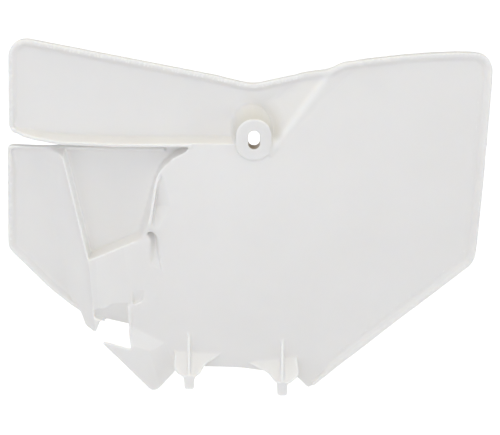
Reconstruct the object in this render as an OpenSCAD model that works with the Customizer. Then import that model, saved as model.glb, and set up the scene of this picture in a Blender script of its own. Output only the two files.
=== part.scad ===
// Racing number board: one injection-moulded side plate for a motocross bike, seen with
// its inner side toward -Y. It is drawn lying down, x to the right, y up the board and
// z along the mould's draw toward the inner side, and is stood upright at the end.
// The origin is the middle of the fixing slot on the boss's seat.
// The shell is the outer mould half's form with the inner half's form, one wall deeper,
// taken away, so every step, ramp and cove keeps the same wall behind it.

/* [Board] */
// Wall thickness of the moulding
wall = 2.5; // [1.8:0.1:3.2]
// Distance from the boss seat back to the floor of the arm and the tail
floor_depth = 20; // [16:0.5:24]
// Radius of the number field's crown
crown_r = 1100; // [900:10:2000]
// Height of the crown's top over the boss seat
crown_rise = 4.6; // [3:0.1:6]
// Place of the crown's top right of the slot
crown_x = 10; // [-10:1:30]
// Place of the crown's top below the slot
crown_drop = 140; // [120:1:160]

/* [Arm] */
// Reach of the arm to the left of the slot
arm_reach = 199; // [180:1:215]
// Height of the arm's outer corner over the slot
arm_h = 81.5; // [74:0.5:90]
// Height of the valley in the top edge over the slot
valley_h = 42; // [38:0.5:46]
// Radius of the arm's outer corner
arm_corner_r = 15; // [8:0.5:20]
// Height of the stiffening flange along the arm's lower edge, over the floor
flange_h = 16; // [10:0.5:17]
// Thickness of the stiffening flange
flange_t = 3.3; // [2.4:0.1:4.5]

/* [Number field] */
// Reach of the board to the right of the slot
field_reach = 193; // [178:1:210]
// Height of the field's top corner over the slot
field_h = 65.5; // [62:0.5:72]
// Radius of the field's top corner
field_corner_r = 16; // [8:0.5:22]
// Depth of the bottom tip below the slot
field_drop = 237; // [230:1:245]
// Height of the fold beside the arm over the field at its upper end
fold_h = 4.5; // [3:0.5:8]
// Fall of the fold's outer bevel, as a slope
fold_slope = 0.3; // [0.25:0.05:1]
// Radius of the cove that runs from the arm's floor up to the fold
fold_cove_r = 60; // [50:1:90]

/* [Rim] */
// Width of the rim's land
rim_w = 3.2; // [2:0.1:4.5]
// Height of the rim over the face inside it
rim_h = 3; // [1.5:0.1:4]

/* [Boss] */
// Width of the fixing slot
slot_w = 9.4; // [6:0.1:11]
// Length of the fixing slot
slot_l = 15.6; // [12:0.1:18]
// Depth of the fixing slot
slot_depth = 10; // [6:0.5:12]
// Width of the boss seat
seat_w = 28.8; // [24:0.2:32]
// Draft of the boss, in degrees
boss_draft = 6; // [2:0.5:12]
// Width of the recess behind the seat
recess_w = 21; // [16:0.5:24]

/* [Tail] */
// Reach of the tail to the left of the slot
tail_reach = 208.8; // [190:0.2:220]
// Width of the open slot between arm and tail at its inner end
gap_w = 5.8; // [4:0.1:8]
// Height of the tail's ridge over the floor
ridge_h = 16; // [10:0.5:17]
// Radius of the cove that rises to the ridge
ridge_cove_r = 32; // [24:1:60]

/* [Hook and tongue] */
// Height of the hook's face over the boss seat
hook_h = 4; // [2:0.5:6]
// Reach of the hook's point to the left of the slot
hook_reach = 133.5; // [126:0.5:136]
// Depth of the tongue's end below the slot
tongue_drop = 183.4; // [181:0.2:188]

/* [Tabs] */
// Place of the rear tab's pin across the board
rear_tab_x = -55.8; // [-66:0.1:-50]
// Depth of the rear shelf's root below the slot
rear_tab_drop = 197.5; // [190:0.5:200]
// Place of the front tab's pin across the board
front_tab_x = 24.7; // [16:0.1:30]
// Depth of the front shelf's root below the slot
front_tab_drop = 203; // [196:0.5:206]
// Turn of the front shelf on the board's face, in degrees
front_tab_turn = -9; // [-14:0.5:0]
// Reach of the shelf out from the field
tab_reach = 16; // [12:0.5:20]
// Fall of the shelf over its reach
tab_fall = 16; // [10:0.5:20]
// Width of the pin
pin_w = 9.5; // [6:0.1:12]
// Length of the pin
pin_l = 13; // [8:0.5:16]
// Thickness of the pin
pin_t = 4; // [3:0.1:6]
// Thickness of the tabs' webs
web_t = 2.4; // [1.6:0.1:3.5]

/* [Hidden] */

$fn = 96;
span = 400;
deep = 70;
lap = 25;
arm_floor = -floor_depth;
ridge_top = arm_floor + ridge_h;
gap_top = -8;
gap_low = gap_top - gap_w;
gap_end = -68;
pocket_end = -53;
arm_lip = gap_top + flange_t;
flange_top = arm_floor + flange_h;
tongue_side = -tongue_drop + 1.8;
rear_hem = rear_tab_drop + tab_fall;
front_hem = front_tab_drop + tab_fall - 1.5;
low_end = rear_hem + 46.5;
edge_bow = 250;
top_bow = 63;
foot_bow = 67;
side_drop = 115.5;
foot_drop = 167;
slot_half = (slot_l - slot_w) / 2;
sink = 0.15;
fold_sink = 3;
skim = 0.15;
crest_w = 2.4;
web_low = [-88.1, -77, -1.2];
web_foot = [-95.7, -86.3, -20];
web_top = [-82.3, -40, -20];
ramp_edge = [[-89, -116, -2.1], [-78, -130, 0.8], [-104, -150, -2.6]];
pocket_top = [-75.1, -25.2, -4.4];
pocket_side = [-68.5, -59.5, -1.2];
pocket_deep = [-82.7, -61.6, -9.5];
pocket_foot = [-79.9, -81.3, -0.6];
nick_edge = [[-90.5, -134.5, -0.4], [-102.6, -135.5, -2.2], [-103.4, -153, -6]];
fold_low = [10.6, -12.9, -0.9];
fold_end = [56, 49];
fold_turn = atan2(fold_end[1] - fold_low[1], fold_end[0] - fold_low[0]);
fold_fall = (fold_low[2] - field_at(fold_end[0], fold_end[1]) - fold_h)
            / norm([fold_end[0] - fold_low[0], fold_end[1] - fold_low[1]]);
fold_run = 130;
fold_w = 44;
ridge_a = [-155.6, -8];
ridge_b = [-139.5, -109];
ridge_c = [-137.2, -167];
ridge_w = 28;
ridge_end = gap_low - 4.5;
ridge_turn_a = atan2(ridge_a[1] - ridge_b[1], ridge_a[0] - ridge_b[0]);
ridge_turn_b = atan2(ridge_b[1] - ridge_c[1], ridge_b[0] - ridge_c[0]);

// Height of the crowned field at a place on the board.
function field_at(x, y) =
    crown_rise - crown_r
    + sqrt(crown_r * crown_r - pow(x - crown_x, 2) - pow(y + crown_drop, 2));

// A place at a distance along the fold's crest and to its left.
function on_fold(c) = [
    fold_low[0] + c[0] * cos(fold_turn) - c[1] * sin(fold_turn),
    fold_low[1] + c[0] * sin(fold_turn) + c[1] * cos(fold_turn),
];

// Points of a closed outline whose corners [x, y, r] are rounded.
function unit(v) = v / norm(v);
function corner(a, b, c, r) =
    let (
        u = unit([a[0] - b[0], a[1] - b[1]]),
        w = unit([c[0] - b[0], c[1] - b[1]]),
        half = acos(max(-1, min(1, u * w))) / 2,
        reach = min(r / tan(half), norm([a[0] - b[0], a[1] - b[1]]) / 2.05,
                    norm([c[0] - b[0], c[1] - b[1]]) / 2.05),
        rad = reach * tan(half),
        mid = [b[0], b[1]] + unit(u + w) * rad / sin(half),
        from = atan2(b[1] + u[1] * reach - mid[1], b[0] + u[0] * reach - mid[0]),
        to = atan2(b[1] + w[1] * reach - mid[1], b[0] + w[0] * reach - mid[0]),
        turn = (to - from + 540) % 360 - 180,
        steps = max(1, ceil(abs(turn) / 12))
    )
    [for (i = [0:steps]) mid + rad * [cos(from + turn * i / steps), sin(from + turn * i / steps)]];
function rounded(p) =
    let (n = len(p))
    [for (i = [0:n - 1])
        each (p[i][2] > 0
            ? corner(p[(i + n - 1) % n], p[i], p[(i + 1) % n], p[i][2])
            : [[p[i][0], p[i][1]]])];

outline = rounded([
    [-arm_reach, 5.5, 2],
    [-arm_reach + 6, arm_h, arm_corner_r],
    [-0.5, valley_h, 25],
    [57, 55, 12],
    [70, 61.2, 10],
    [field_reach - top_bow, field_h + 0.5, edge_bow],
    [field_reach, field_h, field_corner_r],
    [field_reach - 4.6, -side_drop, 18],
    [field_reach - foot_bow, -foot_drop, edge_bow],
    [48.6, -field_drop, 3],
    [38.5, -front_hem - 7, 2],
    [11.7, -front_hem, 20],
    [-14, -rear_hem, 60],
    [-66, -rear_hem, 4],
    [-70, -rear_hem - 6.9, 1],
    [-88, -rear_hem - 25.5, 6],
    [-hook_reach, -184.5, 1.6],
    [-106, -194, 1],
    [-108.5, -178.2, 1],
    [-132.3, -170, 1.5],
    [-137.6, -tongue_drop, 2.5],
    [-146.6, tongue_side, 5],
    [-151, -168, 6],
    [-158.5, -162, 30],
    [-176, -145.5, 80],
    [-tail_reach, -105.8, 14],
    [-tail_reach + 7.4, gap_low + 2.2, 4],
    [gap_end, gap_low, 2.5],
    [gap_end, gap_top, 2.5],
    [-110, gap_top, 200],
    [-arm_reach + 41, -5.8, 60],
    [-arm_reach + 19, -2.2, 30],
    [-arm_reach + 3.5, 0.2, 2],
]);

// Points of a path moved by d to its left side.
function beside(path, d) =
    [for (i = [0:len(path) - 1])
        let (along = unit(path[min(i + 1, len(path) - 1)] - path[max(i - 1, 0)]))
        path[i] + d * [-along[1], along[0]]];

crest = [
    [-55.7, -12.5], [-66.4, -18.4], [-73, -24.5], [-78.1, -31.4], [-80.6, -38.2],
    [-82.4, -46], [-83.8, -54.5], [-88, -79.5],
];
field_plan = [
    [0, arm_lip], [pocket_end, arm_lip], [pocket_end, gap_top - 1.5], each crest,
    [-86.5, -83.2], [-83.5, -84.5], [-80.5, -88], [-80.5, -100], [-77.5, -118], [-76, -130],
    [-82, -140], [-90, -150], [-101, -165], [-106, -178], [-106, -186], [-76, -200],
    [-76, -low_end], [80, -low_end], [240, -150], [240, 110], on_fold([fold_run, 0]),
    [fold_low[0], fold_low[1]],
];
pocket_plan = [
    each [for (i = [2:7]) beside(crest, crest_w)[i]],
    [-84.3, -81.5], [-81.5, -82], [-60, -82], [-50, -50], [-54, -22],
];
web_plan = [
    each [for (i = [4:7]) beside(crest, 0.6 * crest_w)[i]],
    [-84, -84.2], [-86.8, -83.4], [-90.5, -86.5], [-104, -96], [-100, -62],
    [-90, web_top[1]], [-80, web_top[1]],
];
nick_plan = [
    [-103.6, -137], [-90.4, -133.6], [-95.2, -148.6], [-103.4, -153.4],
];
ramp_plan = [
    [-94, -88], [-76, -84], [-74, -112], [-62, -150], [-62, -184], [-106.5, -184],
    [-106.5, -150], [-112, -147], [-112, -128], [-94, -116],
];
plateau_plan = [
    [-139.9, -111.4], [-92.4, -88.8], [-87, -87.4], [-84.2, -91.4], [-84.5, -97], [-88, -118],
    [-86, -132], [-94, -150], [-121.5, -152.5], [-127.7, -157.4], [-138.1, -159],
];
apron_plan = [
    [-138.7, -140], [-98, -140], [-98, -200], [-136.9, -182], [-137.7, -167],
];
ridge_plan_a = [
    [ridge_a[0], ridge_a[1]], [ridge_b[0], ridge_b[1]], [-139.2, -118],
    [-139.2 - ridge_w, -122], [ridge_a[0] - ridge_w, -12],
    [ridge_a[0] - ridge_w, ridge_a[1]],
];
ridge_plan_b = [
    [-141, -100], [ridge_b[0], ridge_b[1]], [ridge_c[0], ridge_c[1]], [-128, -170],
    [-128, -198], [-134 - ridge_w, -198], [ridge_c[0] - ridge_w, ridge_c[1]],
    [ridge_b[0] - ridge_w, -104],
];
hook_plan = [
    [-160, -low_end], [-138.8, -191], [-134.6, -183.5], [-131, -177.5], [-110, -186], [-106.8, -173],
    [-84, -172], [-62, -185], [-60, -225], [-70, -low_end],
];
rimless_plan = [
    [-150, -163], [-145, -150], [-90, -60], [-72, -30], [-74, 0], [-50, 0], [-50, -60], [40, -190],
    [52, -229], [52, -low_end], [-150, -low_end],
];

// Everything behind the level h.
module below(h) {
    translate([-span, -span, -deep])
        cube([2 * span, 2 * span, h + deep]);
}

// The floor that the arm and the tail share.
module base(off) {
    intersection() {
        below(arm_floor + off);
        translate([-span, -span, -deep])
            cube([span + 70, 2 * span, 2 * deep]);
    }
}

// Everything behind a plane through the point p that falls away toward the direction turn.
module behind(p, turn, fall, off) {
    translate([p[0], p[1], p[2] + off * sqrt(1 + fall * fall)])
        rotate([0, 0, turn])
            rotate([0, atan(fall), 0])
                translate([-span, -span, -span])
                    cube([2 * span, 2 * span, span]);
}

// Everything behind the plane through three points.
module under(points, off) {
    normal = unit(cross(points[1] - points[0], points[2] - points[0]));
    up = normal[2] < 0 ? -normal : normal;
    translate(points[0] + up * off)
        rotate([0, acos(up[2]), atan2(up[1], up[0])])
            translate([-span, -span, -span])
                cube([2 * span, 2 * span, span]);
}

// A column over a plan, its edges drawn in by trim.
module column(plan, trim) {
    translate([0, 0, -deep])
        linear_extrude(height = deep + lap)
            offset(delta = -trim)
                polygon(plan);
}

// A column over a closed plan less a smaller one, that is a band along its edge.
module band(width) {
    translate([0, 0, -deep])
        linear_extrude(height = deep + lap)
            difference() {
                polygon(outline);
                offset(delta = -width)
                    polygon(outline);
            }
}

// The number field's crown, a part of a large ball.
module crown(off) {
    translate([crown_x, -crown_drop, crown_rise - crown_r])
        rotate([90, 0, 0])
            sphere(r = crown_r + off, $fn = 360);
}

// A block with a hollow cove on the left of a crest line that starts at p and runs
// along the direction turn, falling by fall.
module cove(plan, p, turn, fall, rise, r, off, trim) {
    away = sqrt(r * r - pow(r - rise, 2));
    difference() {
        intersection() {
            column(plan, trim);
            behind(p, turn, fall, off);
        }
        translate([p[0], p[1], p[2] - rise + r])
            rotate([0, 0, turn])
                translate([0, away, 0])
                    rotate([0, 90 + atan(fall), 0])
                        translate([0, 0, -span / 2])
                            cylinder(r = r - off, h = span);
    }
}

// The crowned face that carries the number, with the pocket beside the web wall, the ramp
// down to the plateau, which falls away into a channel at its upper end.
module field(off, trim) {
    difference() {
        intersection() {
            column(field_plan, trim);
            crown(off);
        }
        difference() {
            column(pocket_plan, -trim);
            under([pocket_top, pocket_side, pocket_deep], off);
            under([pocket_deep, pocket_side, pocket_foot], off);
        }
    }
    intersection() {
        column(ramp_plan, trim);
        under(ramp_edge, off);
        behind([-84, -115, -1.4], 90, 0.45, off);
        crown(off - skim);
    }
    intersection() {
        column(web_plan, trim);
        under([web_low, web_foot, web_top], off);
        crown(off - skim);
    }
}

// The fold beside the arm: a cove up to a crest, and a bevel down to the field.
module fold(off, trim) {
    intersection() {
        column([for (c = [[0, trim], [fold_run, trim], [fold_run, -16], [0, -16]]) on_fold(c)],
               trim);
        behind(fold_low, fold_turn - atan2(fold_slope, fold_fall),
               sqrt(fold_slope * fold_slope + fold_fall * fold_fall), off);
    }
    cove([on_fold([0, -2 * trim]), on_fold([fold_run, -2 * trim]), on_fold([fold_run, fold_w]),
          [-45, arm_lip - 3], [-10, arm_lip - 3]],
         fold_low, fold_turn, fold_fall, fold_low[2] - arm_floor + fold_sink, fold_cove_r, off,
         trim);
}

// The tail's ridge with the cove on its left.
module ridge(off, trim) {
    intersection() {
        union() {
            cove(ridge_plan_a, [ridge_a[0], ridge_a[1], ridge_top], ridge_turn_a, 0,
                 ridge_h + sink, ridge_cove_r, off, trim);
            cove(ridge_plan_b, [ridge_b[0], ridge_b[1], ridge_top], ridge_turn_b, 0,
                 ridge_h + sink, ridge_cove_r, off, trim);
        }
        behind([ridge_a[0], ridge_end, ridge_top], 90, 3, off);
    }
}

// The plateau under the tail's web wall, and the slope below it down to the notch.
module plateau(off, trim) {
    intersection() {
        column(plateau_plan, trim);
        behind([-138, -130, ridge_top - 0.2], 180, 0.045, off);
    }
    intersection() {
        column(apron_plan, trim);
        behind([-138, -130, ridge_top - 0.2 - skim], 180, 0.045, off);
        behind([-120, -153, ridge_top], 270, 0.35, off);
    }
}

// The hook's raised face, its slope up from the field and its folded right side.
module hook(off, trim) {
    intersection() {
        column(hook_plan, 0);
        below(hook_h + off);
        behind([-89, -196, hook_h], 70, 0.38, off);
        behind([-86, -214, hook_h], 12, 0.28, off);
    }
}

// The inner side's form without its rims, moved out by off, its steps drawn in by trim.
// A small nick is cut over the rib beside the notch.
module form(off, trim) {
    base(off);
    difference() {
        union() {
            field(off, trim);
            plateau(off, trim);
        }
        difference() {
            column(nick_plan, -trim);
            under(nick_edge, off);
        }
    }
    fold(off, trim);
    ridge(off, trim);
    hook(off, trim);
}

// The raised rim along the free edges.
module rim() {
    intersection() {
        band(rim_w);
        difference() {
            below(lap);
            column(rimless_plan, 0);
        }
        union() {
            base(rim_h);
            intersection() {
                column(field_plan, 0);
                crown(rim_h);
            }
            fold(rim_h, 0);
        }
    }
}

// The flange along the arm's lower edge, lower toward the arm's end.
module flange() {
    intersection() {
        union() {
            intersection() {
                band(flange_t);
                column([[-arm_reach - 1, gap_top - 4], [-arm_reach - 1, 4], [-arm_reach + 7, 4.4],
                        [-arm_reach + 39, 0], [gap_end - 5, 0], [gap_end - 5, gap_top - 4]], 0);
            }
            column([[gap_end - 6, gap_top], [pocket_end + 2, gap_top],
                    [pocket_end + 2, arm_lip], [gap_end - 6, arm_lip]], 0);
        }
        translate([0, 10, 0])
            rotate([90, 0, 0])
                linear_extrude(height = 30)
                    polygon([[-arm_reach - 6, -deep], [pocket_end + 8, -deep],
                             [pocket_end + 8, flange_top], [-arm_reach + 43, flange_top],
                             [-arm_reach + 23, flange_top - 2], [-arm_reach + 13, flange_top - 5],
                             [-arm_reach + 6, flange_top - 11],
                             [-arm_reach - 6, flange_top - 12.5]]);
    }
}

// An oblong drafted post around the fixing slot.
module oblong(r_far, r_near, far, near) {
    for (side = [-1, 1])
        translate([0, side * slot_half, far])
            cylinder(r1 = r_far, r2 = r_near, h = near - far);
    translate([0, slot_half, 0])
        rotate([90, 0, 0])
            linear_extrude(height = 2 * slot_half)
                polygon([[-r_far, far], [r_far, far], [r_near, near], [-r_near, near]]);
}

// The upright rib beside the notch.
module notch_rib() {
    translate([-107.6, 0, 0])
        rotate([90, 0, 90])
            linear_extrude(height = web_t)
                polygon([[-150, -deep], [-150, -5], [-156, -1.5], [-178, 0.5], [-197, 3],
                         [-197, -deep]]);
}

// One tab: a sloping shelf, the web over it and the pin at its end.
module tab(x, drop, turn, flip) {
    root = field_at(x, -drop);
    slant = atan2(tab_reach, tab_fall);
    run = norm([tab_reach, tab_fall]);
    translate([x, -drop, root])
        mirror([flip, 0, 0]) {
            rotate([0, 0, turn])
                rotate([-slant, 0, 0])
                    translate([0, 0, -web_t])
                        linear_extrude(height = web_t)
                            polygon(rounded([
                                [-12.8, 2.5, 0],
                                [-12.8, -0.76 * run, 7],
                                [-pin_w / 2, -run, 0],
                                [pin_w / 2, -run, 0],
                                [pin_w / 2 + 4.5, -0.86 * run, 5],
                                [13.5, -0.5 * run, 16],
                                [29, -0.04 * run, 0],
                                [26, 2.5, 0],
                            ]));
            translate([-web_t / 2, 0, 0])
                rotate([90, 0, 90])
                    linear_extrude(height = web_t)
                        polygon([[21, -1], [21, 0.6], [-tab_fall + 1.5, tab_reach],
                                 [-tab_fall + 1.5, tab_reach - 3], [-1, -1.5]]);
            translate([0, -tab_fall, tab_reach - pin_t])
                linear_extrude(height = pin_t)
                    polygon(rounded([
                        [-pin_w / 2, 1.5, 0],
                        [-pin_w / 2 + 0.5, -pin_l, 2.5],
                        [pin_w / 2 - 0.5, -pin_l, 2.5],
                        [pin_w / 2, 1.5, 0],
                    ]));
        }
}

module number_board() {
    color("white")
        rotate([90, 0, 0]) {
            difference() {
                union() {
                    intersection() {
                        column(outline, 0);
                        difference() {
                            union() {
                                form(0, 0);
                                rim();
                                flange();
                                notch_rib();
                                oblong(seat_w / 2 + floor_depth * tan(boss_draft), seat_w / 2,
                                       arm_floor - 1, 0);
                            }
                            form(-wall, wall);
                        }
                    }
                    oblong(seat_w / 2 - 1, seat_w / 2 - 1, -slot_depth, -1);
                }
                oblong(slot_w / 2, slot_w / 2, -deep, 1);
                oblong(recess_w / 2, recess_w / 2, -deep, -slot_depth);
            }
            tab(rear_tab_x, rear_tab_drop, 0, 0);
            tab(front_tab_x, front_tab_drop, front_tab_turn, 1);
        }
}

number_board();
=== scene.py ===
import math

import bpy
import numpy as np
import openvdb
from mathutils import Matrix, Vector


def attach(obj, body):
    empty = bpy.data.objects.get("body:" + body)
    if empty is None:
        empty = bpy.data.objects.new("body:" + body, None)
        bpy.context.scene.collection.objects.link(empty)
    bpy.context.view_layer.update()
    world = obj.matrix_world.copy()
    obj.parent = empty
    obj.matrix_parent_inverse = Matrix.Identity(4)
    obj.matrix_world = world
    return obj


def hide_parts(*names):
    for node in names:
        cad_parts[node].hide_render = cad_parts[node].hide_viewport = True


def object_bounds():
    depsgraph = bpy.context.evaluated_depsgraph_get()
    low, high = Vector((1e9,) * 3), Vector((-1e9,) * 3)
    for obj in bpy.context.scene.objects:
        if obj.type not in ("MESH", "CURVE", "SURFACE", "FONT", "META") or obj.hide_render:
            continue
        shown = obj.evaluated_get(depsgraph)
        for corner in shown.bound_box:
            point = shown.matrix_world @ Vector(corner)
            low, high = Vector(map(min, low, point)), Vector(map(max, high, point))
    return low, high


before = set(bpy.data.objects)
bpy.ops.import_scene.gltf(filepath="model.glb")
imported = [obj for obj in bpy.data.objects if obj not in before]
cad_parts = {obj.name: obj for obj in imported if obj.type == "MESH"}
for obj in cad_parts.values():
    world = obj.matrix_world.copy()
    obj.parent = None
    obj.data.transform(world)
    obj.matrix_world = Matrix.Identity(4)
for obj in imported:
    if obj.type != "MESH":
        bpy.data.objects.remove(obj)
cad_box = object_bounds()
scene = bpy.context.scene

# ---------------------------------------------------------------- camera
CAMERA_PLACE = (-0.0032, -0.9258, 0.3830)
CAMERA_DOWN = 26.0
camera = bpy.data.objects.new("camera", bpy.data.cameras.new("camera"))
scene.collection.objects.link(camera)
camera.data.lens = 90.0
camera.data.sensor_width = 36.0
camera.data.clip_start = 0.05
camera.data.clip_end = 50.0
camera.location = CAMERA_PLACE
camera.rotation_euler = (math.radians(90.0 - CAMERA_DOWN), 0.0, 0.0)
scene.camera = camera

# ---------------------------------------------------------------- skin
VOXEL = 0.0005
INNER_FILLET = 0.0009
OUTER_FILLET = 0.0006
MAX_TRIANGLES = 190000
# Evens out the steps that the voxel grid leaves in the skin.
STEP_ROUNDS, STEP_BACK = 3, 0.52


def rise(value, start, width):
    """0 up to start, then up to 1 over width."""
    return np.clip((value - start) / width, 0.0, 1.0)


def fall(value, end, width):
    """1 until width before end, then down to 0 at end."""
    return np.clip((end - value) / width, 0.0, 1.0)


def ball(points, centre, radius, soft):
    """1 within radius of a place in the board's plane, fading to 0 over soft."""
    away = np.hypot(points[:, 0] - centre[0], points[:, 2] - centre[1])
    return fall(away, radius + soft, soft)


def level_set(points, reach, triangles=None, quads=None):
    """The distance grid of a closed mesh, wide enough for an offset of reach."""
    return openvdb.FloatGrid.createLevelSetFromPolygons(
        points.astype(np.float32),
        triangles=None if triangles is None else triangles.astype(np.uint32),
        quads=None if quads is None else quads.astype(np.uint32),
        transform=openvdb.createLinearTransform(VOXEL),
        halfWidth=reach / VOXEL + 2.0,
    )


def offset(points, faces, distance):
    """The surface at a distance outside the given closed quad mesh."""
    return level_set(points, abs(distance), quads=faces).convertToQuads(isovalue=distance)


def moulded(node):
    """The node's surface with every inner and outer corner rounded, as quads."""
    mesh = node.data
    mesh.calc_loop_triangles()
    points = np.empty(len(mesh.vertices) * 3, np.float32)
    mesh.vertices.foreach_get("co", points)
    triangles = np.empty(len(mesh.loop_triangles) * 3, np.int32)
    mesh.loop_triangles.foreach_get("vertices", triangles)
    grid = level_set(points.reshape(-1, 3), INNER_FILLET, triangles=triangles.reshape(-1, 3))
    points, faces = grid.convertToQuads(isovalue=INNER_FILLET)
    points, faces = offset(points, faces, -INNER_FILLET - OUTER_FILLET)
    points, faces = offset(points, faces, OUTER_FILLET)
    return points.astype(np.float64), faces.astype(np.int64)


def edges_of(faces):
    """Each edge of the quads once, as two columns of point numbers."""
    pairs = np.concatenate([faces[:, [0, 1]], faces[:, [1, 2]], faces[:, [2, 3]], faces[:, [3, 0]]])
    pairs.sort(axis=1)
    base = faces.max() + 1
    keys = np.unique(pairs[:, 0] * base + pairs[:, 1])
    return keys // base, keys % base


def edge_sum(a, b, at_a, at_b, total):
    """For each of total points, the sum of what its edges bring; counts them for None."""
    return np.bincount(a, at_a, total) + np.bincount(b, at_b, total)


def smooth(points, edges, weight, rounds, back=0.0):
    """Relaxes the points that have weight toward the middle of their neighbours. A back
    above 0 adds a step outward to each round, which restores the volume."""
    a, b = edges
    near = (weight[a] > 0.0) | (weight[b] > 0.0)
    used, flat = np.unique(np.concatenate([a[near], b[near]]), return_inverse=True)
    a, b = np.split(flat, 2)
    part, weight = points[used], weight[used]
    count = edge_sum(a, b, None, None, len(used))
    for _ in range(rounds):
        for step in ((0.5, -back) if back else (0.5,)):
            middle = np.empty_like(part)
            for axis in range(3):
                middle[:, axis] = edge_sum(a, b, part[b, axis], part[a, axis], len(used)) / count
            part += (middle - part) * (step * weight)[:, None]
    points[used] = part
    return points


points, faces = moulded(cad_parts["number_board"])
edges = edges_of(faces)
points = smooth(points, edges, np.ones(len(points)), STEP_ROUNDS, STEP_BACK)

# ---------------------------------------------------------------- rim
CELL = 1.25 * VOXEL
OUTLINE_MARGIN, OUTLINE_BLUR = 3, 6
# The rim's inner side is spread inward, and its slope smoothed, by depth inside the outline.
RIM_REACH = 0.0135
RIM_SPREAD = 0.0019
SPREAD_FROM, SPREAD_RISE, SPREAD_FALL = 0.0008, 0.0016, 0.0095
SLOPE_FROM, SLOPE_TO, SLOPE_RISE, SLOPE_FALL = 0.0030, 0.0100, 0.001, 0.002
SLOPE_ROUNDS = 60
# Round areas without a rim: the tongue and the notch, the hook, the tabs and the boss.
NO_RIM = [
    ((-0.105, -0.170), 0.055),
    ((-0.056, -0.200), 0.045),
    ((0.025, -0.205), 0.038),
    ((0.0, 0.0), 0.032),
]
NO_RIM_SOFT = 0.006
# The open slot between the arm and the tail has its own edges.
SLOT_LEFT, SLOT_LOW, SLOT_HIGH, SLOT_SOFT = -0.04, -0.018, 0.004, 0.014


def neighbours(grid, corners):
    """The grid moved one cell to each side, and to each corner where asked."""
    steps = [(1, 0), (-1, 0), (0, 1), (0, -1)]
    if corners:
        steps += [(1, 1), (-1, -1), (1, -1), (-1, 1)]
    return [np.roll(grid, step, (0, 1)) for step in steps]


def outline_field(points):
    """How far inside the board's outline each point lies, and the way inward."""
    low = points.min(axis=0)
    column = ((points[:, 0] - low[0]) / CELL).astype(int) + OUTLINE_MARGIN
    row = ((points[:, 2] - low[2]) / CELL).astype(int) + OUTLINE_MARGIN
    size = (column.max() + OUTLINE_MARGIN + 1, row.max() + OUTLINE_MARGIN + 1)
    inside = np.zeros(size, bool)
    inside[column, row] = True
    inside = np.logical_or.reduce([inside] + neighbours(inside, False))
    depth = np.zeros(inside.shape)
    for i in range(int(RIM_REACH / CELL) + 2):
        inside = np.logical_and.reduce([inside] + neighbours(inside, i % 2 == 1))
        depth += inside * CELL
    even = depth
    for _ in range(OUTLINE_BLUR):
        even = (even + sum(neighbours(even, False))) / 5.0
    inward = np.stack(np.gradient(even, CELL), axis=2)
    inward /= np.maximum(np.linalg.norm(inward, axis=2, keepdims=True), 0.3)
    return depth[column, row], inward[column, row]


def move_inward(points, inward, amount):
    """Moves each point by its amount toward the middle of the board, in its plane."""
    points[:, 0] += amount * inward[:, 0]
    points[:, 2] += amount * inward[:, 1]


depth, inward = outline_field(points)
past_slot = np.maximum(points[:, 0] - SLOT_LEFT,
                       np.maximum(SLOT_LOW - points[:, 2], points[:, 2] - SLOT_HIGH))
free = rise(past_slot, 0.0, SLOT_SOFT)
for centre, radius in NO_RIM:
    free *= 1.0 - ball(points, centre, radius, NO_RIM_SOFT)
spread = RIM_SPREAD * free
spread *= rise(depth, SPREAD_FROM, SPREAD_RISE)
spread *= fall(depth, RIM_REACH, SPREAD_FALL)
move_inward(points, inward, spread)
depth += spread
slope = free * rise(depth, SLOPE_FROM, SLOPE_RISE)
slope *= fall(depth, SLOPE_TO, SLOPE_FALL)
points = smooth(points, edges, slope, SLOPE_ROUNDS)

# ---------------------------------------------------------------- edge
# The edge lies a little further in along the right side, its foot and the valley.
TUCK_REACH, TUCK_FALL = 0.0125, 0.006
LOW_RIGHT_TUCK, LOW_RIGHT_X, LOW_RIGHT_Z, LOW_RIGHT_SOFT = 0.0021, 0.045, -0.095, 0.03
RIGHT_TUCK, RIGHT_X, RIGHT_SOFT = 0.0011, 0.16, 0.02
# Amount, centre, radius and softness of each: the upper right corner, the valley.
TUCK_SPOTS = [
    (0.0005, (0.190, 0.063), 0.008, 0.012),
    (0.0011, (0.010, 0.046), 0.022, 0.020),
]
low_right = rise(points[:, 0], LOW_RIGHT_X, LOW_RIGHT_SOFT)
low_right *= fall(points[:, 2], LOW_RIGHT_Z, LOW_RIGHT_SOFT)
tuck = LOW_RIGHT_TUCK * low_right
tuck += RIGHT_TUCK * (1.0 - low_right) * rise(points[:, 0], RIGHT_X, RIGHT_SOFT)
for amount, centre, radius, soft in TUCK_SPOTS:
    tuck += amount * ball(points, centre, radius, soft)
tuck *= fall(depth, TUCK_REACH, TUCK_FALL)
move_inward(points, inward, tuck)

# ---------------------------------------------------------------- free forms
# The boss leans up and to the left toward its foot.
BOSS_LEAN = (-0.0015, 0.0043)
LEAN_FROM, LEAN_RISE, LEAN_TO, LEAN_FALL = 0.0128, 0.001, 0.031, 0.012
# Where each part of the lean starts, from below, and over what height it grows.
LEFT_FROM, LEFT_RISE = -0.012, 0.004
UP_FROM, UP_RISE = -0.003, 0.008
SLOT_HALF = 0.0031
ARM_FLOOR = 0.020


def from_slot(flat):
    """Distance of each place in the board's plane from the fixing slot's middle line."""
    return np.hypot(flat[:, 0], np.clip(np.abs(flat[:, 1]) - SLOT_HALF, 0.0, None))


away = from_slot(points[:, [0, 2]])
lean = rise(away, LEAN_FROM, LEAN_RISE) * fall(away, LEAN_TO, LEAN_FALL)
lean *= rise(points[:, 1], 0.0, ARM_FLOOR)
points[:, 0] += BOSS_LEAN[0] * lean * rise(points[:, 2], LEFT_FROM, LEFT_RISE)
points[:, 2] += BOSS_LEAN[1] * lean * rise(points[:, 2], UP_FROM, UP_RISE)

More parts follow.
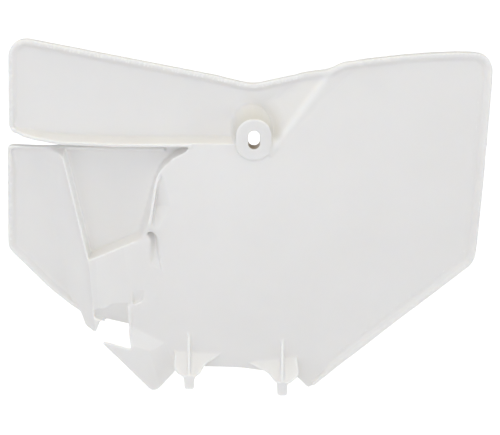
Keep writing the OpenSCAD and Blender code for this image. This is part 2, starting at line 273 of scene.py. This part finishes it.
# The fold beside the arm is softer than its plain bevel.
FOLD_FROM, FOLD_TO = np.array((0.0106, -0.0129)), np.array((0.056, 0.049))
FOLD_START = 0.002
FOLD_RISE = 0.012
FOLD_HEIGHT = (0.0019, 0.0045)
FOLD_FALL = 0.3
FOLD_LEFT = 0.014
FOLD_SINK = 0.75
FOLD_SOFT, FOLD_ROUNDS = 0.001, 30
fold_line = FOLD_TO - FOLD_FROM
fold_length = np.hypot(*fold_line)
fold_line /= fold_length


def beside_fold(points):
    """How far along the fold each point lies, and how far to the right of it."""
    flat = points[:, [0, 2]] - FOLD_FROM
    return flat @ fold_line, flat[:, 0] * fold_line[1] - flat[:, 1] * fold_line[0]


along, right = beside_fold(points)
height = FOLD_HEIGHT[0] + (FOLD_HEIGHT[1] - FOLD_HEIGHT[0]) * along / fold_length
height *= rise(along, FOLD_START, FOLD_RISE)
height = np.where(right > 0.0, height - FOLD_FALL * right, height * (1.0 + right / FOLD_LEFT))
points[:, 1] += FOLD_SINK * np.clip(height, 0.0, None)
points = smooth(points, edges, rise(height, 0.0, FOLD_SOFT), FOLD_ROUNDS)

# The blended junctions beside the web wall, at its lower end, over the notch and at the
# ridge's top: centre, radius, softness, rounds and back of each.
SOFT_SPOTS = [
    ((-0.073, -0.030), 0.010, 0.010, 24, 0.5),
    ((-0.0865, -0.0865), 0.006, 0.006, 160, 0.0),
    ((-0.0845, -0.093), 0.011, 0.006, 200, 0.0),
    ((-0.088, -0.125), 0.022, 0.015, 40, 0.5),
    ((-0.118, -0.162), 0.012, 0.008, 24, 0.5),
    ((-0.176, -0.022), 0.012, 0.008, 60, 0.0),
]
for centre, radius, soft, rounds, back in SOFT_SPOTS:
    points = smooth(points, edges, ball(points, centre, radius, soft), rounds, back)

# ---------------------------------------------------------------- mesh
skin_mesh = bpy.data.meshes.new("moulded_board")
skin_mesh.vertices.add(len(points))
skin_mesh.vertices.foreach_set("co", points.astype(np.float32).ravel())
skin_mesh.loops.add(len(faces) * 4)
skin_mesh.loops.foreach_set("vertex_index", faces[:, ::-1].astype(np.int32).ravel())
skin_mesh.polygons.add(len(faces))
skin_mesh.polygons.foreach_set("loop_start", np.arange(0, len(faces) * 4, 4, dtype=np.int32))
skin_mesh.update(calc_edges=True)
skin_mesh.validate()
skin = bpy.data.objects.new("moulded_board", skin_mesh)
scene.collection.objects.link(skin)

thin = skin.modifiers.new("thin", "DECIMATE")
thin.ratio = min(1.0, MAX_TRIANGLES / (2.0 * len(faces)))
bpy.context.view_layer.update()
thinned = skin.evaluated_get(bpy.context.evaluated_depsgraph_get())
lean_mesh = bpy.data.meshes.new_from_object(thinned)
skin.modifiers.clear()
skin.data = lean_mesh
lean_mesh.name = "moulded_board"
lean_mesh.polygons.foreach_set("use_smooth", np.ones(len(lean_mesh.polygons), bool))
even = skin.modifiers.new("even", "WEIGHTED_NORMAL")
even.weight = 60

# Thinning may move a point by microns, so all are kept inside the CAD box.
places = np.empty(len(lean_mesh.vertices) * 3)
lean_mesh.vertices.foreach_get("co", places)
places = np.clip(places.reshape(-1, 3), cad_box[0], cad_box[1])
lean_mesh.vertices.foreach_set("co", places.ravel())
lean_mesh.update()

# ---------------------------------------------------------------- painted highlight and shade
# Painted shade: behind the seat the slot's wall is painted dark brown, and the boss's flank is
# painted a darker, warmer grey.
SLOT_SHADE_REACH = 0.0053
SEAT_DEPTH, SEAT_RISE = 0.0006, 0.0006
FLANK_FROM, FLANK_RISE, FLANK_TO, FLANK_FALL = 0.0136, 0.0006, 0.0245, 0.006
FLANK_DEEP, FLANK_DEEP_FALL = 0.022, 0.020
FLANK_LOW, FLANK_LOW_RISE = -0.004, 0.006
# A softer painted shadow lies on the arm's floor, to the right of and above the boss's foot.
FOOT_SIDE = (0.82, 0.57)
FOOT_FROM, FOOT_TO, FOOT_FALL = 0.0158, 0.027, 0.010
FOOT_AMOUNT, FOOT_DEPTH, FOOT_LEAST = 0.5, 0.021, 0.001
# Painted highlight: thin round edges, the ridge's right-facing wall and a stripe along the fold are
# painted paler, for the light that catches them.
HIGHLIGHT_FROM, HIGHLIGHT_BEND, HIGHLIGHT_ROUNDS = 60.0, 300.0, 3
RIDGE_AMOUNT, RIDGE_X, RIDGE_HALF, RIDGE_LOW, RIDGE_HIGH = 0.9, -0.146, 0.014, -0.112, -0.012
RIDGE_FACING, RIDGE_FACING_RISE = 0.4, 0.2
STRIPE_AMOUNT, STRIPE_RIGHT, STRIPE_WIDTH = 0.8, 0.001, 0.0026
STRIPE_END, STRIPE_SOFT = 0.090, 0.01

away = from_slot(places[:, [0, 2]])
hidden = rise(places[:, 1], SEAT_DEPTH, SEAT_RISE)
# Painted shade: the slot's wall behind the seat is painted dark brown.
painted_slot_shade = hidden * (away < SLOT_SHADE_REACH)
# Painted shade: the boss's flank is painted darker and warmer, most near the seat.
painted_shade = hidden * rise(away, FLANK_FROM, FLANK_RISE) * fall(away, FLANK_TO, FLANK_FALL)
painted_shade *= fall(places[:, 1], FLANK_DEEP, FLANK_DEEP_FALL)
painted_shade *= rise(places[:, 2], FLANK_LOW, FLANK_LOW_RISE)
# Painted shadow on the arm's floor beside the boss's foot.
foot = places[:, [0, 2]] - BOSS_LEAN
from_foot = from_slot(foot)
side = np.clip(FOOT_SIDE[0] * foot[:, 0] + FOOT_SIDE[1] * foot[:, 1], 0.0, None)
shady = side / np.maximum(from_foot, FOOT_LEAST)
shady *= (from_foot > FOOT_FROM) * fall(from_foot, FOOT_TO, FOOT_FALL)
shady = FOOT_AMOUNT * np.clip(shady, 0.0, 1.0) * (places[:, 1] < FOOT_DEPTH)
painted_shade = np.maximum(painted_shade, shady)

pairs = np.empty(len(lean_mesh.edges) * 2, np.int32)
lean_mesh.edges.foreach_get("vertices", pairs)
a, b = pairs.reshape(-1, 2).T
facing = np.empty(len(places) * 3)
lean_mesh.vertices.foreach_get("normal", facing)
facing = facing.reshape(-1, 3)
span = places[b] - places[a]
bend = ((facing[b] - facing[a]) * span).sum(axis=1) / np.maximum((span * span).sum(axis=1), 1e-9)
count = np.maximum(edge_sum(a, b, None, None, len(places)), 1)
bend = edge_sum(a, b, bend, bend, len(places)) / count
for _ in range(HIGHLIGHT_ROUNDS):
    bend = 0.5 * bend + 0.5 * edge_sum(a, b, bend[b], bend[a], len(places)) / count
# Painted highlight on sharply bent edges, the ridge's right-facing wall and along the fold.
painted_highlight = rise(bend, HIGHLIGHT_FROM, HIGHLIGHT_BEND)
ridge_wall = rise(facing[:, 0], RIDGE_FACING, RIDGE_FACING_RISE)
ridge_wall *= np.abs(places[:, 0] - RIDGE_X) < RIDGE_HALF
ridge_wall *= (places[:, 2] < RIDGE_HIGH) * (places[:, 2] > RIDGE_LOW)
painted_highlight = np.maximum(painted_highlight, RIDGE_AMOUNT * ridge_wall)
along, right = beside_fold(places)
stripe = np.exp(-((right - STRIPE_RIGHT) / STRIPE_WIDTH) ** 2)
stripe *= rise(along, FOLD_START, STRIPE_SOFT)
painted_highlight = np.maximum(painted_highlight, STRIPE_AMOUNT * stripe * fall(along, STRIPE_END, STRIPE_SOFT))
for name, amount in (("painted_slot_shade", painted_slot_shade), ("painted_shade", painted_shade), ("painted_highlight", painted_highlight)):
    layer = lean_mesh.attributes.new(name, "FLOAT", "POINT")
    layer.data.foreach_set("value", amount.astype(np.float32))

# ---------------------------------------------------------------- material
# The two whites that the plastic drifts between, and the colour of each painted layer above:
# painted highlight, painted shade and painted slot shade.
TINTS = ((0.842, 0.827, 0.803, 1.0), (0.858, 0.843, 0.82, 1.0))
SHADES = (
    ("painted_highlight", (0.945, 0.935, 0.905, 1.0)),
    ("painted_shade", (0.70, 0.68, 0.625, 1.0)),
    ("painted_slot_shade", (0.40, 0.31, 0.20, 1.0)),
)


def nodes_of(owner):
    """The emptied node tree of a material or world: its nodes and its links."""
    owner.use_nodes = True
    owner.node_tree.nodes.clear()
    return owner.node_tree.nodes, owner.node_tree.links


def plastic():
    """White moulded polypropylene: satin, faintly see-through at thin edges, with fine grain."""
    made = bpy.data.materials.new("white_plastic")
    nodes, links = nodes_of(made)
    out = nodes.new("ShaderNodeOutputMaterial")
    shader = nodes.new("ShaderNodeBsdfPrincipled")
    links.new(shader.outputs["BSDF"], out.inputs["Surface"])
    shader.inputs["IOR"].default_value = 1.49
    shader.inputs["Subsurface Weight"].default_value = 0.25
    shader.inputs["Subsurface Radius"].default_value = (1.0, 0.85, 0.65)
    shader.inputs["Subsurface Scale"].default_value = 0.003
    place = nodes.new("ShaderNodeTexCoord")

    def noise(scale, detail, roughness=0.5):
        made = nodes.new("ShaderNodeTexNoise")
        made.inputs["Scale"].default_value = scale
        made.inputs["Detail"].default_value = detail
        made.inputs["Roughness"].default_value = roughness
        links.new(place.outputs["Object"], made.inputs["Vector"])
        return made.outputs["Fac"]

    def ramp(source, from_low, from_high, to_low, to_high):
        made = nodes.new("ShaderNodeMapRange")
        made.inputs["From Min"].default_value = from_low
        made.inputs["From Max"].default_value = from_high
        made.inputs["To Min"].default_value = to_low
        made.inputs["To Max"].default_value = to_high
        links.new(source, made.inputs["Value"])
        return made.outputs["Result"]

    def bump(source, strength, distance):
        made = nodes.new("ShaderNodeBump")
        made.inputs["Strength"].default_value = strength
        made.inputs["Distance"].default_value = distance
        links.new(source, made.inputs["Height"])
        return made

    tint = nodes.new("ShaderNodeMix")
    tint.data_type = "RGBA"
    links.new(ramp(noise(14.0, 3.0), 0.35, 0.65, 0.0, 1.0), tint.inputs["Factor"])
    tint.inputs["A"].default_value, tint.inputs["B"].default_value = TINTS
    colour = tint.outputs["Result"]
    for name, shade in SHADES:
        layer = nodes.new("ShaderNodeAttribute")
        layer.attribute_name = name
        mix = nodes.new("ShaderNodeMix")
        mix.data_type = "RGBA"
        links.new(layer.outputs["Fac"], mix.inputs["Factor"])
        links.new(colour, mix.inputs["A"])
        mix.inputs["B"].default_value = shade
        colour = mix.outputs["Result"]
    links.new(colour, shader.inputs["Base Color"])

    handling = noise(60.0, 6.0, 0.62)
    links.new(ramp(handling, 0.3, 0.75, 0.36, 0.52), shader.inputs["Roughness"])

    wave = bump(noise(22.0, 2.0), 0.25, 0.0004)
    grain = bump(noise(1500.0, 2.0), 0.35, 0.00006)
    links.new(wave.outputs["Normal"], grain.inputs["Normal"])
    links.new(grain.outputs["Normal"], shader.inputs["Normal"])
    return made


board_plastic = plastic()
for board in (skin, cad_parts["number_board"]):
    board.data.materials.clear()
    board.data.materials.append(board_plastic)
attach(skin, "root")
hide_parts("number_board")

# ---------------------------------------------------------------- floor and light
FLOOR_Z, FLOOR_HALF = -0.42, 6
FLOOR_MATTE, FLOOR_WARM, FLOOR_GLOW = 0.8, (1.0, 0.981, 0.955), 0.66
SKY_COLOUR, SKY_STRENGTH = (0.843, 0.883, 1.0, 1.0), 0.42
AIM = (0.0, 0.0, -0.09)
COOL = (0.91, 0.942, 1.0)
WARM = (1.0, 0.925, 0.69)
# Name, place, size in metres, power in watts and colour of each.
LAMPS = [
    ("key", (-1.5, -1.9, -0.1), 1.2, 7.5, COOL),
    ("behind", (-0.5, 2.3, -0.1), 1.4, 9.0, COOL),
    ("low", (0.0, -2.0, -0.2), 0.4, 3.9, COOL),
    ("left", (-2.4, -0.5, 0.3), 1.2, 6.4, COOL),
    ("right", (2.4, -0.8, 0.3), 1.2, 10.4, COOL),
    ("front_top", (0.0, -1.7, 1.7), 1.4, 9.4, COOL),
    ("top", (0.0, -0.25, 2.0), 2.0, 19.5, WARM),
]


def seen_white():
    """A warm matte white, neutral under the cool lamps, that the camera sees as white paper."""
    made = bpy.data.materials.new("floor_white")
    nodes, links = nodes_of(made)
    out = nodes.new("ShaderNodeOutputMaterial")
    matte = nodes.new("ShaderNodeBsdfDiffuse")
    matte.inputs["Color"].default_value = [part * FLOOR_MATTE for part in FLOOR_WARM] + [1.0]
    shine = nodes.new("ShaderNodeEmission")
    path = nodes.new("ShaderNodeLightPath")
    seen = nodes.new("ShaderNodeMath")
    seen.operation = "MAXIMUM"
    links.new(path.outputs["Is Camera Ray"], seen.inputs[0])
    links.new(path.outputs["Is Glossy Ray"], seen.inputs[1])
    level = nodes.new("ShaderNodeMath")
    level.operation = "MULTIPLY"
    level.inputs[1].default_value = FLOOR_GLOW
    links.new(seen.outputs[0], level.inputs[0])
    links.new(level.outputs[0], shine.inputs["Strength"])
    both = nodes.new("ShaderNodeAddShader")
    links.new(matte.outputs[0], both.inputs[0])
    links.new(shine.outputs[0], both.inputs[1])
    links.new(both.outputs[0], out.inputs["Surface"])
    return made


def studio():
    """A cool sky for the light, which the camera sees as white."""
    made = bpy.data.worlds.new("studio")
    nodes, links = nodes_of(made)
    out = nodes.new("ShaderNodeOutputWorld")
    light = nodes.new("ShaderNodeBackground")
    light.inputs["Color"].default_value = SKY_COLOUR
    light.inputs["Strength"].default_value = SKY_STRENGTH
    seen = nodes.new("ShaderNodeBackground")
    seen.inputs["Color"].default_value = (1.0, 1.0, 1.0, 1.0)
    mix = nodes.new("ShaderNodeMixShader")
    path = nodes.new("ShaderNodeLightPath")
    links.new(path.outputs["Is Camera Ray"], mix.inputs["Fac"])
    links.new(light.outputs[0], mix.inputs[1])
    links.new(seen.outputs[0], mix.inputs[2])
    links.new(mix.outputs[0], out.inputs["Surface"])
    return made


def lamp(name, place, size, power, colour):
    """A soft square lamp at a place, turned to the board's middle."""
    data = bpy.data.lights.new(name, "AREA")
    data.shape = "SQUARE"
    data.size = size
    data.energy = power
    data.color = colour
    made = bpy.data.objects.new(name, data)
    scene.collection.objects.link(made)
    made.location = place
    gaze = np.array(AIM) - np.array(place)
    made.rotation_euler = (
        math.atan2(math.hypot(gaze[0], gaze[1]), -gaze[2]), 0.0, math.atan2(-gaze[0], gaze[1])
    )


floor_mesh = bpy.data.meshes.new("floor")
floor_mesh.from_pydata(
    [(x * FLOOR_HALF, y * FLOOR_HALF, FLOOR_Z) for x, y in ((-1, -1), (1, -1), (1, 1), (-1, 1))],
    [], [(0, 1, 2, 3)],
)
floor = bpy.data.objects.new("floor", floor_mesh)
scene.collection.objects.link(floor)
floor.data.materials.append(seen_white())

scene.world = studio()
for one in LAMPS:
    lamp(*one)

scene.view_settings.view_transform = "Standard"
